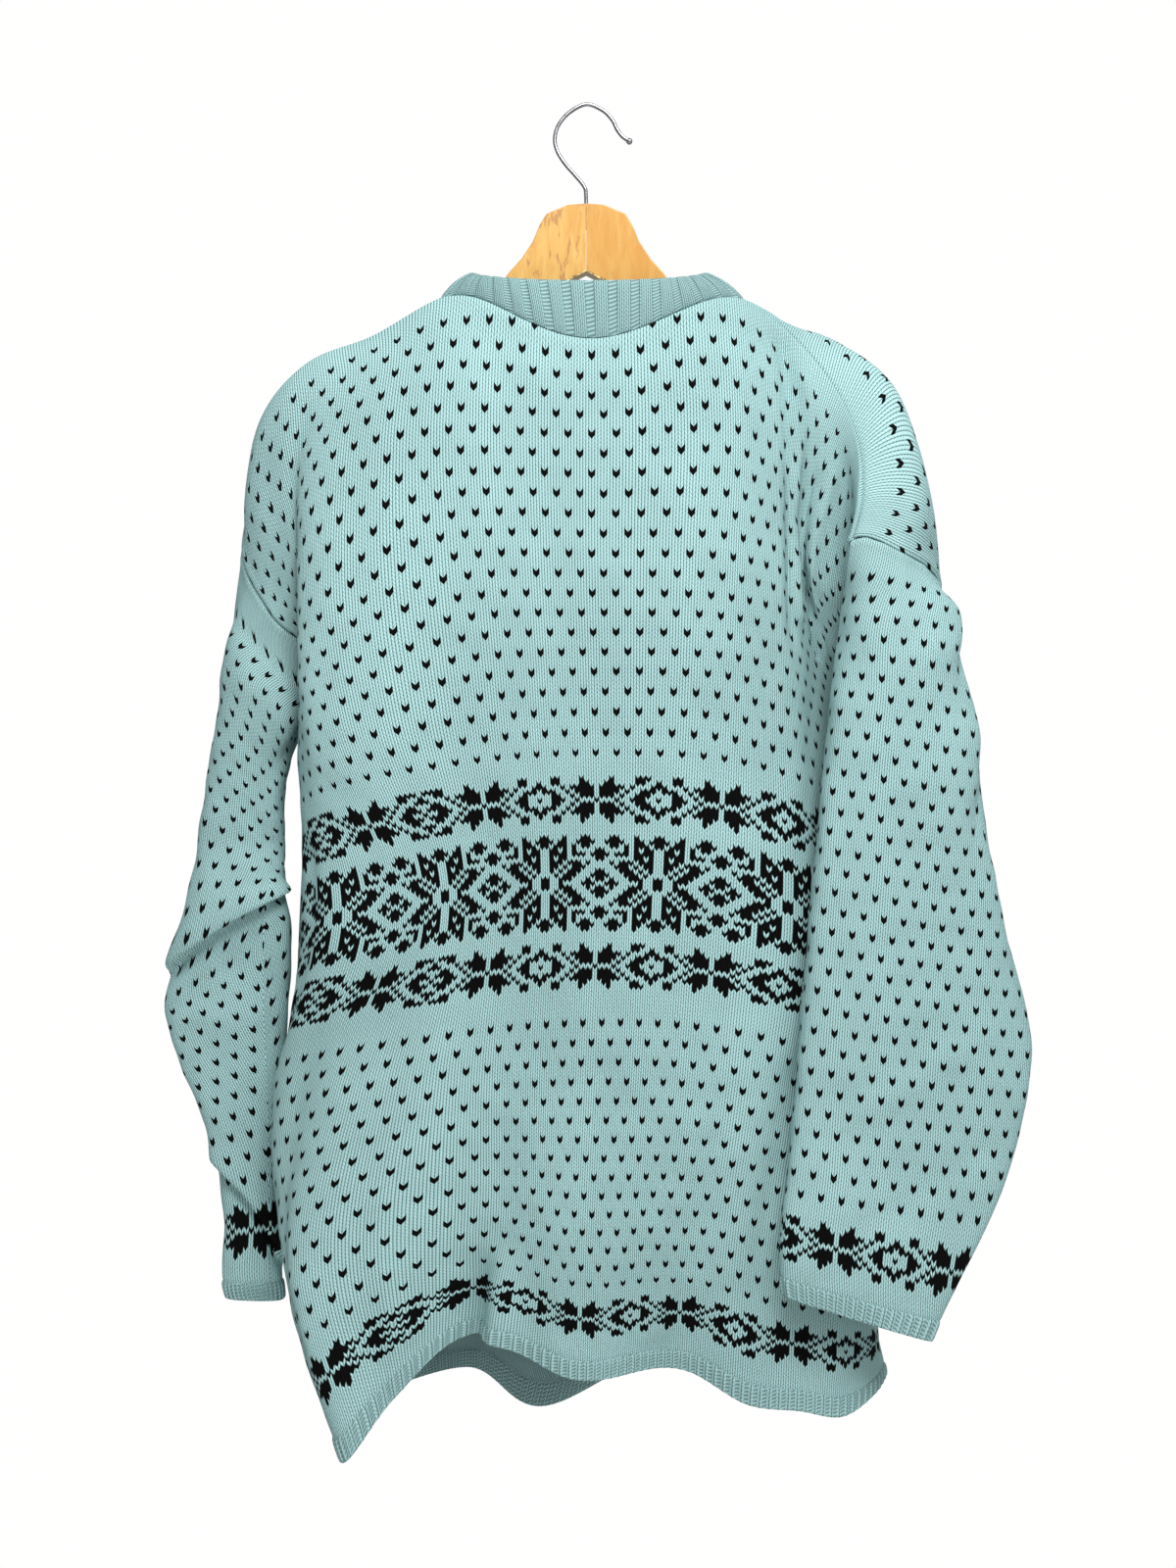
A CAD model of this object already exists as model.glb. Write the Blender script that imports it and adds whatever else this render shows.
"""Norwegian sweater on a wooden hanger, dressed in knitted yarn, beech, steel and brass.

The back of the sweater faces -Y and the origin is the underside of the hook's crown.
Each panel is one surface over stitch counts: wales run across, courses run down, and the
same counts are its UV map, so that the stitches and the colour pattern follow the cloth.
"""

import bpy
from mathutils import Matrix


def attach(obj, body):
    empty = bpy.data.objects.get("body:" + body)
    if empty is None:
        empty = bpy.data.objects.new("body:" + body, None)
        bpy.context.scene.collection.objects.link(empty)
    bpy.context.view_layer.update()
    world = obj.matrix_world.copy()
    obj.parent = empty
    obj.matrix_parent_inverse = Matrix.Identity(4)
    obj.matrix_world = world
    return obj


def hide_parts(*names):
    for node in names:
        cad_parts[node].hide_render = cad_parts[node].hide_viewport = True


bl_info = {
    "name": "Norwegian Sweater",
    "version": (1, 0, 0),
    "blender": (4, 5, 0),
    "location": "View3D > Sidebar > Sweater",
    "description": "Builds a two-colour knitted sweater on its hanger, with a plain studio",
    "category": "Object",
}

import bpy
import numpy as np
from bpy.props import FloatProperty, FloatVectorProperty, PointerProperty

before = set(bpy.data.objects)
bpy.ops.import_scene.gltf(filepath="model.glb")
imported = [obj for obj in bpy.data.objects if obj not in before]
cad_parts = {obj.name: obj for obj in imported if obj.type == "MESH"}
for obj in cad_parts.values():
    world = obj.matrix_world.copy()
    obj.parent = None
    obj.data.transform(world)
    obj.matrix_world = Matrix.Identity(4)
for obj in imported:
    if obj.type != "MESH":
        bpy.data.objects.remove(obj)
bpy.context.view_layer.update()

# Driving sizes, in metres
MM = 0.001
WALE = 0.00406            # one stitch across
COURSE = 0.00283          # one row of stitches
CLOTH = 0.0016            # knitted wall
SEAM_GAP = 0.0003         # between two pieces at a seam
EYE_LEVEL = -0.484        # the tables' height that is level with the eye
BACK_PLANE = -0.045       # the plane in which the tables are read
EYE_DISTANCE = 1.5        # from the hook to the eye
EYE = np.array((0.0, -EYE_DISTANCE, EYE_LEVEL * EYE_DISTANCE / (EYE_DISTANCE + BACK_PLANE)))

HALF_WALES = 80           # stitches from the middle to a side seam
NECK_WALES = 27           # stitches from the middle to a neck point
BACK_SCOOP = 10.5         # courses that the back neckline drops
FRONT_SCOOP = 28          # courses that the front neckline drops
UNDERARM = 62             # courses from the shoulder tip to the underarm
RIB_TOP = 271.5           # course where the hem's rib starts
HEM_END = 277
CUFF_TOP = 186            # course of the sleeve where the cuff's rib starts
CUFF_END = 191

HEM_RIBS = 84             # ribs across one panel
CUFF_RIBS = 36            # ribs round one cuff
NECK_RIBS = 30            # rib groups round the neckband
RIB_STEPS = 6             # mesh columns to a rib of the hem or a cuff
NECK_STEPS = 14           # and to a rib group of the neckband
NECK_COURSES = 13         # courses from its seam to its top
NECKBAND_WALL = 0.0030    # knitted double
WIRE_DIAMETER = 0.0030

SENSOR = 36.0             # the camera's width, mm
VIEW_HEIGHT = 1.12        # metres that the picture spans at the back panel
VIEW_PIXELS = 1600
SHIFT_PIXELS = 2          # how far left of the middle the hook hangs
FLOOR = -1.75             # the floor's height under the hook
FLOOR_RADIUS = 1.45
LIGHTS = (
    # name, setting, share of its power, size, place, aim
    ("key_light", "key_power", 1.0, (1.1, 0.9), (0.26, -1.35, 0.95), (0.08, 0.0, -0.45)),
    ("fill_light", "fill_power", 1.0, (1.2, 1.6), (1.6, -1.5, -0.2), (0.0, 0.0, -0.5)),
    ("low_light", "fill_power", 0.35, (0.9, 0.5), (-0.3, -1.1, -1.6), (-0.05, 0.0, -0.9)),
    ("back_light", "fill_power", 2.2, (1.6, 1.4), (0.6, 2.0, 0.7), (0.0, 0.0, -0.4)),
)

# Back panel. Columns are wales, rows are courses, cells are (x, y, z).
# drop_left, drop_right and strip_right lie in the shoulders that hang off the hanger,
# edge_left becomes the body's fold edge, valley_right is the deep fold beside the sleeve.
BACK_WALES = {
    "seam_left": -80, "drop_left": -66, "edge_left": -50, "crest_left": -38, "neck_left": -27,
    "middle": 0, "neck_right": 27, "ridge_right": 40, "valley_right": 50, "strip_right": 60,
    "drop_right": 70, "seam_right": 80,
}
BACK_ROWS = {
    0: ((-236, 26, -283), (-233, 12, -230), (-197, 0, -182), (-152, 0, -164), (-104, 0, -137),
        (4, 0, -134), (113, 0, -138), (149, -9, -164), (179, -26, -201), (195, -38, -239),
        (197, -52, -279), (190, -58, -309)),
    14: ((-246, 10, -318), (-238, -6, -266), (-195, -20, -210), (-151, -22, -184),
         (-107, -21, -171), (4, -22, -178), (116, -21, -171), (150, -26, -203), (168, -32, -232),
         (184, -30, -262), (191, -28, -303), (200, -31, -337)),
    34: ((-226, -14, -362), (-214, -22, -322), (-199, -32, -262), (-158, -34, -240),
         (-111, -34, -232), (4, -34, -234), (118, -36, -234), (146, -40, -259), (152, -30, -292),
         (165, -34, -318), (185, -24, -350), (206, -12, -380)),
    62: ((-188, 8, -404), (-200, -17, -378), (-202, -36, -352), (-160, -42, -332),
         (-108, -45, -318), (4, -46, -314), (115, -46, -318), (146, -44, -331), (154, -30, -350),
         (168, -19, -375), (190, -6, -400), (200, 18, -428)),
    100: ((-198, 14, -484), (-206, -18, -462), (-190, -44, -446), (-146, -49, -436),
          (-96, -49, -428), (6, -50, -421), (111, -50, -426), (149, -42, -437), (166, -20, -447),
          (184, 1, -460), (202, 22, -474), (215, 46, -486)),
    145: ((-205, 10, -600), (-196, -36, -585), (-144, -52, -574), (-108, -54, -566),
          (-76, -53, -560), (8, -54, -555), (105, -54, -563), (157, -42, -576), (182, -18, -584),
          (199, 6, -593), (211, 32, -603), (216, 60, -612)),
    190: ((-208, 22, -732), (-225, -18, -718), (-187, -46, -708), (-138, -52, -700),
          (-90, -52, -693), (3, -54, -686), (94, -56, -690), (143, -48, -699), (172, -28, -706),
          (196, 0, -713), (209, 30, -719), (215, 62, -726)),
    235: ((-194, 26, -852), (-210, -12, -846), (-208, -44, -836), (-154, -46, -816),
          (-94, -44, -800), (-3, -60, -808), (80, -52, -806), (125, -56, -815), (157, -52, -822),
          (188, -38, -828), (206, -8, -834), (203, 26, -840)),
    277: ((-158, 16, -938), (-173, -24, -956), (-169, -54, -966), (-137, -37, -924),
          (-98, -18, -884), (-6, -50, -910), (74, -40, -904), (117, -52, -928), (152, -56, -932),
          (183, -54, -936), (206, -38, -920), (214, -6, -905)),
}

# Front panel. Its wales run the same way across, and its rows under the underarm share
# the back's side seams, so their cells there are left as None.
FRONT_WALES = {
    "seam_left": -80, "drop_left": -66, "shoulder_left": -50, "neck_left": -27, "middle": 0,
    "neck_right": 27, "shoulder_right": 48, "hanger_right": 58, "drop_right": 68,
    "seam_right": 80,
}
FRONT_ROWS = {
    14: ((-238, 44, -318), (-222, 34, -270), (-188, 20, -207), (-105, 21, -171), (4, 24, -178),
         (114, 20, -170), (182, 8, -169), (220, -9, -203), (237, -36, -268), (226, -50, -318)),
    34: ((-224, 46, -362), (-212, 44, -322), (-186, 34, -264), (-108, 34, -234), (4, 36, -236),
         (116, 34, -232), (188, 30, -228), (226, 30, -254), (248, 18, -302), (254, 12, -346)),
    62: (None, (-202, 42, -386), (-182, 48, -345), (-104, 50, -318), (4, 52, -314),
         (112, 50, -316), (184, 44, -312), (214, 46, -338), (234, 42, -372), None),
    100: (None, (-201, 44, -464), (-172, 58, -444), (-90, 68, -428), (8, 62, -424),
          (100, 70, -428), (164, 66, -446), (200, 70, -458), (222, 68, -474), None),
    145: (None, (-197, 46, -592), (-160, 70, -576), (-80, 62, -562), (5, 74, -556),
          (92, 70, -562), (158, 90, -582), (192, 98, -590), (214, 90, -602), None),
    190: (None, (-204, 56, -726), (-160, 64, -712), (-82, 78, -696), (-2, 68, -690),
          (88, 82, -694), (160, 82, -708), (194, 96, -716), (216, 92, -722), None),
    235: (None, (-204, 56, -850), (-158, 74, -836), (-84, 62, -808), (-5, 78, -806),
          (80, 64, -810), (152, 78, -822), (188, 78, -830), (210, 62, -838), None),
    277: (None, (-168, 40, -925), (-138, 50, -914), (-86, 30, -902), (-34, 34, -928),
          (56, 50, -890), (132, 42, -906), (172, 38, -914), (202, 26, -912), None),
}

# Courses of the panels' rows at the side, closer round the armholes
PANEL_COURSES = (0, 4, 9, 15, 22, 30, 38, 46, 54, 62, 76, 96, 120, 148, 178, 208, 232, 252, RIB_TOP)

# Places round a sleeve at the armhole's rows, down its back half
ARMHOLE_HALF = [course / UNDERARM / 2 for course in PANEL_COURSES if course <= UNDERARM]

# Sleeves. A row is one ring: its left and right edges (x, y, z), how thick the flattened
# tube is, how much lower its far side hangs, and where round the ring, from the shoulder
# tip at 0 through the back of the armhole and the underarm at 0.5, the two edges lie.
SLEEVE_LEFT_ROWS = {
    14: ((-254, 6, -376), (-200, 8, -434), 50, 4, 0.16, 0.46),
    40: ((-263, 6, -436), (-214, 8, -480), 46, 0, 0.15, 0.54),
    75: ((-275, 6, -512), (-215, 8, -536), 44, 0, 0.14, 0.60),
    96: ((-288, 4, -583), (-215, 6, -562), 46, 0, 0.13, 0.61),
    106: ((-299, 8, -628), (-211, 10, -582), 34, 0, 0.12, 0.62),
    122: ((-296, 12, -664), (-212, 14, -628), 30, 0, 0.12, 0.62),
    150: ((-272, 18, -728), (-216, 20, -714), 28, 0, 0.12, 0.62),
    172: ((-258, 24, -792), (-219, 24, -788), 26, 0, 0.12, 0.62),
    186: ((-259, 26, -838), (-217, 26, -838), 24, 0, 0.12, 0.62),
    191: ((-256, 26, -850), (-216, 26, -851), 23, 0, 0.12, 0.62),
}
SLEEVE_RIGHT_ROWS = {
    14: ((184, -40, -353), (262, -14, -364), 62, 88, 0.0, 0.74),
    40: ((175, -46, -422), (277, -26, -440), 52, 62, 0.0, 0.66),
    85: ((163, -56, -548), (294, -34, -568), 44, 20, 0.0, 0.56),
    125: ((153, -62, -661), (317, -40, -680), 38, 0, 0.0, 0.52),
    155: ((146, -68, -748), (299, -50, -766), 34, 0, 0.0, 0.50),
    186: ((139, -80, -836), (252, -64, -867), 27, 0, 0.0, 0.50),
    191: ((141, -80, -849), (246, -66, -881), 26, 0, 0.0, 0.50),
}

# Neckband: the top edge is an oval that leans in and is lower at the front.
# Each side gives how far back it reaches and how far it drops.
NECK_TOP = {"middle_x": 2, "half_width": 81, "side_z": -119, "back": (17, 5), "front": (-30, 62)}
NECKBAND_BULGE = 0.002

# Folds laid over the sections: wale at the top and at the hem, half width in wales,
# first and full course, how far the cloth moves out, and how far it overlaps itself.
BACK_FOLDS = (
    # top, hem, half width, first, full, outward, overlap
    (-22, -20, 3.0, 236, 268, 0.010, 0.005),
    (-40, -41, 3.4, 240, 270, -0.008, 0.0),
)
FRONT_FOLDS = (
    (-12, -16, 9.0, 70, 150, 0.012, 0.0),
    (14, 12, 9.0, 90, 170, -0.010, 0.0),
)

HOOK_PATH = ((0, -88), (0, -64), (-1.5, -57), (-8, -49), (-15, -41), (-20.5, -32), (-22.3, -23),
             (-19.6, -13.5), (-12, -4.5), (0, 1.455), (11.5, -2.6), (18.6, -9.5), (22.2, -16.5),
             (26, -21.5), (31, -25))


def at_depth(cell):
    """The real place, in metres, of a table's cell."""
    point = np.array(cell, dtype=float) * MM
    reach = (point[1] - EYE[1]) / (BACK_PLANE - EYE[1])
    return np.array((point[0] * reach, point[1], EYE[2] + (point[2] - EYE_LEVEL) * reach))


def slopes_of(knots, values, first=None, last=None):
    """Slopes of a smooth curve at its knots; those of the ends may be given."""
    steps = np.diff(np.asarray(knots, dtype=float))
    shape = (-1,) + (1,) * (values.ndim - 1)
    runs = np.diff(values, axis=0) / steps.reshape(shape)
    ahead = (steps[1:] / (steps[:-1] + steps[1:])).reshape(shape)
    slopes = np.empty_like(values)
    slopes[1:-1] = runs[:-1] * ahead + runs[1:] * (1 - ahead)
    slopes[0] = runs[0] if first is None else first
    slopes[-1] = runs[-1] if last is None else last
    return slopes


def curve_through(knots, values, slopes, at):
    """Cubic curve through values with the given slopes, read at many places."""
    knots = np.asarray(knots, dtype=float)
    at = np.asarray(at, dtype=float)
    steps = np.diff(knots)
    shape = (-1,) + (1,) * (values.ndim - 1)
    index = np.clip(np.searchsorted(knots, at) - 1, 0, len(steps) - 1)
    step = steps[index].reshape(shape)
    t = ((at - knots[index]) / steps[index]).reshape(shape)
    start, end = values[index], values[index + 1]
    leave, arrive = slopes[index] * step, slopes[index + 1] * step
    return (start * (2 * t**3 - 3 * t**2 + 1) + leave * (t**3 - 2 * t**2 + t)
            + end * (3 * t**2 - 2 * t**3) + arrive * (t**3 - t**2))


def spline(knots, values, at, first=None, last=None):
    """Smooth curve through values at knots, read at many places."""
    return curve_through(knots, values, slopes_of(knots, values, first, last), at)


def unit(vectors):
    return vectors / np.linalg.norm(vectors, axis=-1, keepdims=True)


def tangent(direction, run, span):
    """Slope along a direction, as steep as the run over its span."""
    return unit(direction) * np.linalg.norm(run, axis=-1, keepdims=True) / span


def chord(knots, values, at):
    """Straight-line reading between knots of an array of vectors."""
    return np.stack([np.interp(at, knots, values[:, axis]) for axis in range(3)], axis=1)


def smooth(value, low, high):
    """0 up to low, 1 from high on, with a soft rise between them."""
    t = np.clip((value - low) / (high - low), 0, 1)
    return t * t * (3 - 2 * t)


class Body:
    """The pullover's body: a tube of two panels, cut open at the neck and the armholes."""

    def __init__(self):
        self.back_wales = np.array(list(BACK_WALES.values()), dtype=float)
        self.front_wales = np.array(list(FRONT_WALES.values()), dtype=float)
        self.courses = np.array(sorted(BACK_ROWS), dtype=float)
        self.back = np.array([[at_depth(cell) for cell in BACK_ROWS[c]] for c in sorted(BACK_ROWS)])
        shoulder = spline(self.back_wales, self.back[0], self.front_wales)
        front = [shoulder]
        for row, course in enumerate(sorted(FRONT_ROWS), start=1):
            cells = FRONT_ROWS[course]
            left = self.back[row][0] if cells[0] is None else at_depth(cells[0])
            right = self.back[row][-1] if cells[-1] is None else at_depth(cells[-1])
            front.append(np.array([left] + [at_depth(c) for c in cells[1:-1]] + [right]))
        self.front = np.array(front)

    def across(self, side, wales):
        """Each row's points at the wales: an array of rows, wales, xyz."""
        own, other = (self.back, self.front) if side == "back" else (self.front, self.back)
        knots = self.back_wales if side == "back" else self.front_wales
        rows = []
        for row, course in enumerate(self.courses):
            first = last = None
            if course >= UNDERARM:
                first = tangent(own[row][1] - other[row][1], own[row][1] - own[row][0],
                                knots[1] - knots[0])
                last = tangent(other[row][-2] - own[row][-2], own[row][-1] - own[row][-2],
                               knots[-1] - knots[-2])
            rows.append(spline(knots, own[row], wales, first, last))
        rows[0] = spline(self.back_wales, self.back[0], wales)
        return np.array(rows)

    def base(self, side, wales, courses):
        """Points of the unfolded form: an array of courses, wales, xyz."""
        own = self.across(side, wales)
        other = self.across("front" if side == "back" else "back", wales)
        over_shoulder = tangent(own[1] - other[1], own[1] - own[0], self.courses[1])
        slopes = slopes_of(self.courses, own, first=over_shoulder)
        arm = int(np.searchsorted(self.courses, UNDERARM))
        below = (own[arm + 1] - own[arm]) / (self.courses[arm + 1] - self.courses[arm])
        near_seam = smooth(np.abs(np.asarray(wales, dtype=float)), 64, HALF_WALES)[:, None]
        slopes[arm] += (below - slopes[arm]) * near_seam
        return curve_through(self.courses, own, slopes, courses)

    def points(self, side, wales, courses):
        """Points of the finished form, with the folds laid over it."""
        grid = self.base(side, wales, courses)
        outward = -1 if side == "back" else 1
        wale = np.asarray(wales, dtype=float)[None, :]
        course = np.asarray(courses, dtype=float)[:, None]
        folds = BACK_FOLDS if side == "back" else FRONT_FOLDS
        for top, hem, width, start, full, lift, overlap in folds:
            centre = top + (hem - top) * course / HEM_END
            reach = (wale - centre) / width
            rise = smooth(course, start, full)
            bump = np.exp(-reach**2 / 2)
            swing = reach * bump * np.exp(0.5)
            grid[:, :, 1] += outward * lift * rise * (swing if overlap else bump)
            grid[:, :, 0] -= overlap * rise * swing
        return grid

    def column(self, side, wale, courses):
        """Points down one wale, and the unit vectors out of the garment there."""
        step = 0.3
        count = len(courses)
        courses = np.asarray(courses, dtype=float)
        rows = np.concatenate((courses, np.maximum(courses - step, 0), courses + step))
        grid = self.points(side, [wale - step, wale, wale + step], rows)
        across = grid[:count, 2] - grid[:count, 0]
        down = grid[2 * count:, 1] - grid[count:2 * count, 1]
        normals = np.cross(down, across) if side == "back" else np.cross(across, down)
        return grid[:count, 1], unit(normals)


def blurred(vectors, axis):
    """Unit vectors round a ring, each evened out with its neighbours."""
    return unit(np.roll(vectors, 1, axis=axis) + vectors * 2 + np.roll(vectors, -1, axis=axis))


def oval(width, thickness, places):
    """Places from 0 to 1 along half a rounded strip, as fractions across and in depth."""
    turn = np.linspace(0, np.pi, 49)
    across = np.sign(np.cos(turn)) * np.abs(np.cos(turn)) ** 0.8
    depth = np.sin(turn) ** 0.6
    run = np.hypot(np.diff(across) * width / 2, np.diff(depth) * thickness / 2)
    length = np.concatenate(([0], np.cumsum(run)))
    length /= length[-1]
    return np.interp(places, length, across), np.interp(places, length, depth)


class Sleeve:
    """A tube from the armhole's loop to the cuff. Places round it run from 0 to 1."""

    def __init__(self, body, rows, wale):
        self.body = body
        self.rows = rows
        self.wale = wale
        self.near_from_left = wale < 0
        self.flip = -1 if wale < 0 else 1
        half = np.array(ARMHOLE_HALF)
        self.loop = np.concatenate((half, (1 - half)[::-1][1:]))

    def armhole(self, places):
        """Points and outward normals of the armhole's edge, and the way off the body there."""
        courses = [c for c in PANEL_COURSES if c <= UNDERARM]
        inner = self.wale - np.sign(self.wale)
        halves = []
        for side in ("back", "front"):
            edge, outward = self.body.column(side, self.wale, courses)
            inside, _ = self.body.column(side, inner, courses)
            halves.append((edge, outward, unit(edge - inside)))
        return [chord(self.loop, np.concatenate((back, front[::-1][1:])), np.asarray(places) % 1)
                for back, front in zip(*halves)]

    def ring(self, row, places):
        """One ring of the table, read at places round it."""
        left, right, thickness, drop, place_left, place_right = row
        left, right = at_depth(left), at_depth(right)
        middle = (left + right) / 2
        half = (right - left) / 2
        width = np.linalg.norm(half) * 2
        deep = np.array((-half[1], half[0], 0))
        deep *= thickness * MM / 2 / np.linalg.norm(deep)
        places = np.asarray(places) % 1
        span = place_right - place_left
        if self.near_from_left:
            near = (places >= place_left) & (places <= place_right)
            part = np.where(near, (places - place_left) / span,
                            ((places - place_right) % 1) / (1 - span))
            go_right = near
        else:
            near = places > place_right
            part = np.where(near, (places - place_right) / (1 - place_right),
                            (places - place_left) / span)
            go_right = ~near
        across, depth = oval(width, thickness * MM, part)
        across = np.where(go_right, -across, across)
        depth = np.where(near, -depth, depth)
        points = middle + across[:, None] * half + depth[:, None] * deep
        points[:, 2] -= drop * MM * smooth(depth, 0, 1)
        return points

    def points(self, places, courses):
        """Points of the tube: an array of courses, places, xyz."""
        start, _, away = self.armhole(places)
        rings = [start] + [self.ring(self.rows[c], places) for c in sorted(self.rows)]
        knots = [0] + sorted(self.rows)
        toward = unit(rings[1] - rings[0])
        from_underarm = np.abs(np.asarray(places) % 1 - 0.5)[:, None]
        onward = np.sum(toward * away, axis=1)[:, None]
        straight = smooth(from_underarm, 0, 0.25) * smooth(onward, -0.3, 0.6) * 0.95
        first = (toward * (1 - straight) + away * straight) * COURSE
        return spline(knots, np.array(rings), courses, first=first)

    def seam(self, places):
        """Vectors along the armhole that split the angle between panel and sleeve, and
        unit vectors square to them that lead off the panel."""
        loop = self.loop[:-1]
        edge, outward, away = self.armhole(loop)
        rows = self.points(loop, np.array((0.0, 1.0)))
        own = grid_normals(self.points, loop, np.array((0.0, 1.0)), self.flip, 2.4)[0]
        split = blurred(unit(outward + own), 0)
        along = np.roll(edge, -1, axis=0) - np.roll(edge, 1, axis=0)
        off = np.cross(along, split)
        onward = away * (np.abs(loop - 0.5) > 0.01)[:, None] + (rows[1] - rows[0]) / COURSE * 0.5
        off = unit(off * np.sign(np.sum(off * onward, axis=1))[:, None])
        split /= np.maximum(np.sum(split * outward, axis=1), 0.9)[:, None]
        return [chord(self.loop, np.concatenate((part, part[:1])), np.asarray(places) % 1)
                for part in (split, off)]


def grid_normals(points_at, columns, rows, flip, step=0.2):
    """Unit normals of a surface function over a grid of columns and rows."""
    aside = 0.002
    across = points_at(columns + aside, rows) - points_at(columns - aside, rows)
    down = points_at(columns, rows + step) - points_at(columns, np.maximum(rows - step, rows[0]))
    return unit(np.cross(across, down)) * flip


def neck_course(side, wale):
    """Course of the cut neckline at a wale, 0 beside the neck."""
    inside = np.clip(1 - np.abs(wale / NECK_WALES) ** (2 if side == "back" else 3), 0, 1)
    return inside * (BACK_SCOOP if side == "back" else FRONT_SCOOP)


def panel_grid(body, side, wales, shares):
    """Points and normals of a panel: shares run from the neckline or shoulder to the rib."""
    gap = SEAM_GAP / 2 / COURSE
    points = np.empty((len(shares), len(wales), 3))
    normals = np.empty_like(points)
    for column, wale in enumerate(wales):
        start = neck_course(side, wale) + gap
        courses = start + (RIB_TOP - gap - start) * np.array(shares)
        points[:, column], normals[:, column] = body.column(side, wale, courses)
    return points, normals


# Creases laid over the fine cloth, as numbers: from and to, then width and height in
# millimetres, less than 0 for a trough. A place is a wale and a course on a panel, and
# hundredths of the way round and a course on a sleeve. At a lap the cloth lies over itself.
BACK_CREASES = (
    (37, 6, 41, 78, 7, -5.6), (44, 10, 46, 70, 6, 3.6), (53, 24, 56, 74, 3.6, -4.6),
    (58, 18, 60, 70, 4, 2.8), (-52, 20, -70, 58, 9, -2.4), (-46, 78, -50, 118, 12, -1.8),
    (-20, 12, -9, 34, 12, -1.0), (22, 14, 14, 40, 12, -1.2), (-33, 172, -36, 262, 11, 3.8),
    (-57, 176, -55, 248, 9, -3.6), (-66, 128, -68, 172, 7, -2.2), (2, 196, -2, 262, 13, -3.0),
    (24, 206, 20, 266, 10, 3.2), (42, 186, 38, 256, 9, -3.0), (60, 222, 57, 262, 8, 2.0),
    (-4, 60, 8, 108, 20, 1.2),
)
FRONT_CREASES = (
    (-24, 34, -44, 84, 11, -3.4), (20, 36, 38, 92, 12, -3.6), (-52, 24, -66, 64, 8, -3.0),
    (-6, 44, -10, 128, 13, 2.4), (14, 120, 10, 214, 11, -3.0), (-36, 112, -42, 230, 12, 3.0),
    (44, 132, 50, 244, 12, -3.0), (-60, 166, -62, 262, 9, -2.6), (-2, 212, 2, 266, 10, 2.8),
    (30, 210, 28, 268, 9, 2.6), (62, 60, 66, 150, 9, 2.6),
)
SLEEVE_LEFT_CREASES = (
    (30, 20, 26, 74, 9, 2.0), (48, 18, 40, 66, 7, -2.0), (20, 84, 50, 70, 8, -1.8),
    (22, 118, 46, 126, 7, 1.8), (76, 60, 84, 120, 9, -2.4),
)
SLEEVE_LEFT_LAPS = (
    (19, 102.5, 56, 96, 9, 6.0), (19, 160, 56, 179, 8, 4.4), (72, 98, 92, 105, 7, 2.4),
)
SLEEVE_RIGHT_CREASES = (
    (84, 24, 80, 60, 8, 1.8), (94, 30, 93, 110, 7, -2.0), (70, 96, 76, 128, 9, -2.2),
    (66, 122, 84, 140, 9, 1.8), (60, 148, 82, 172, 8, -1.6), (20, 60, 28, 130, 11, -3.0),
    (36, 88, 30, 160, 9, 2.4),
)
LAP_EDGE = 0.12           # how softly a lap's edge falls, in its widths
LAP_FADE = (0.3, 0.8)     # how fast a lap runs out on its high and its low side
FINE_RIB_RELIEF = 0.0016  # hem and cuff ribs
FINE_NECK_RELIEF = 0.0018
RIB_DEPTHS = np.array((0.0, 0.11, 0.2, 0.4, 0.6, 0.78, 0.9, 0.96, 1.0))
NECK_HEIGHTS = np.array((0, 0.03, 0.08, 0.16, 0.3, 0.45, 0.6, 0.75, 0.87, 0.94, 0.98, 1.0))
EDGE_CORD = 0.0006        # how far a cast-off edge stands out
RIB_SHARE = 0.1           # how much of a rib is furrow rather than crest, round 0
NECK_SHARE = -0.12
SEAM_DIP = 0.0005         # how far cloth draws in where a rib starts
CALM = 0.02               # metres beside a seam in which creases fade
FINE_PLACES = 113         # mesh columns round a sleeve
SEAM_ROLL = 0.9           # how far the cloth dips into a seam, in millimetres
SEAM_RIDGE = 0.7          # how far it stands up beside a seam
TUCK = 0.5                # courses that a rib reaches up inside the wall above it
STITCH_SLANT = 0.95       # rows that a stitch's leg climbs
RIPPLE = 0.45             # uneven waves all over the cloth

# One half of each colour repeat, from its middle outwards, and from its middle row up.
# x is a stitch of the dark yarn. Both halves mirror, as in the traditional borders.
REPEAT_HALF = 12          # wales from a motif's middle to its neighbour's
ROSE_ROWS = ("x..xxx..x...x",
             "..xxx..x.xxx.",
             ".xxx..x.xxxx.",
             "xx...x.xxxxx.",
             "x..xx....xx..",
             "..xxx....x...")
STAR_ROWS = (".xxx....x..x",
             "x.x...xxx..x",
             "xx...xxx.x..",
             "x...xxx.x.x.",
             "...xxx.x.xx.",
             "..x.xxx.xxx.",
             "x......xx.x.",
             "xx.xxx.xxxx.",
             "x....x.x.xx.",
             "..xx.x.xxx.x",
             ".xxxx..xx.xx",
             "..xx...x...x")
BODY_ROSES = (124, 164, 258)
BODY_STARS = (144,)
BODY_LICE = ((8, 114), (175, 249))
SLEEVE_ROSES = (174,)
SLEEVE_LICE = ((6, 165),)
LICE = ((0.0, 3.0), (2.0, 8.0))   # wale and row of the first louse of either row of lice
LICE_WALES = 4.0          # stitches from louse to louse
LICE_COURSES = 10.0
LOUSE_WIDTH = 0.62        # half of a louse
LOUSE_HEIGHT = 0.84
CREVICE, CREST = 0.26, 1.16       # tone between the stitches and on top of them
RIB_FURROW = (0.36, 0.74) # height of the purl in a rib's furrow
SLEEVE_WALE = 0.0036      # a stitch across where the sleeve hangs slack


def settings():
    return bpy.context.scene.sweater_sizes


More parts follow.
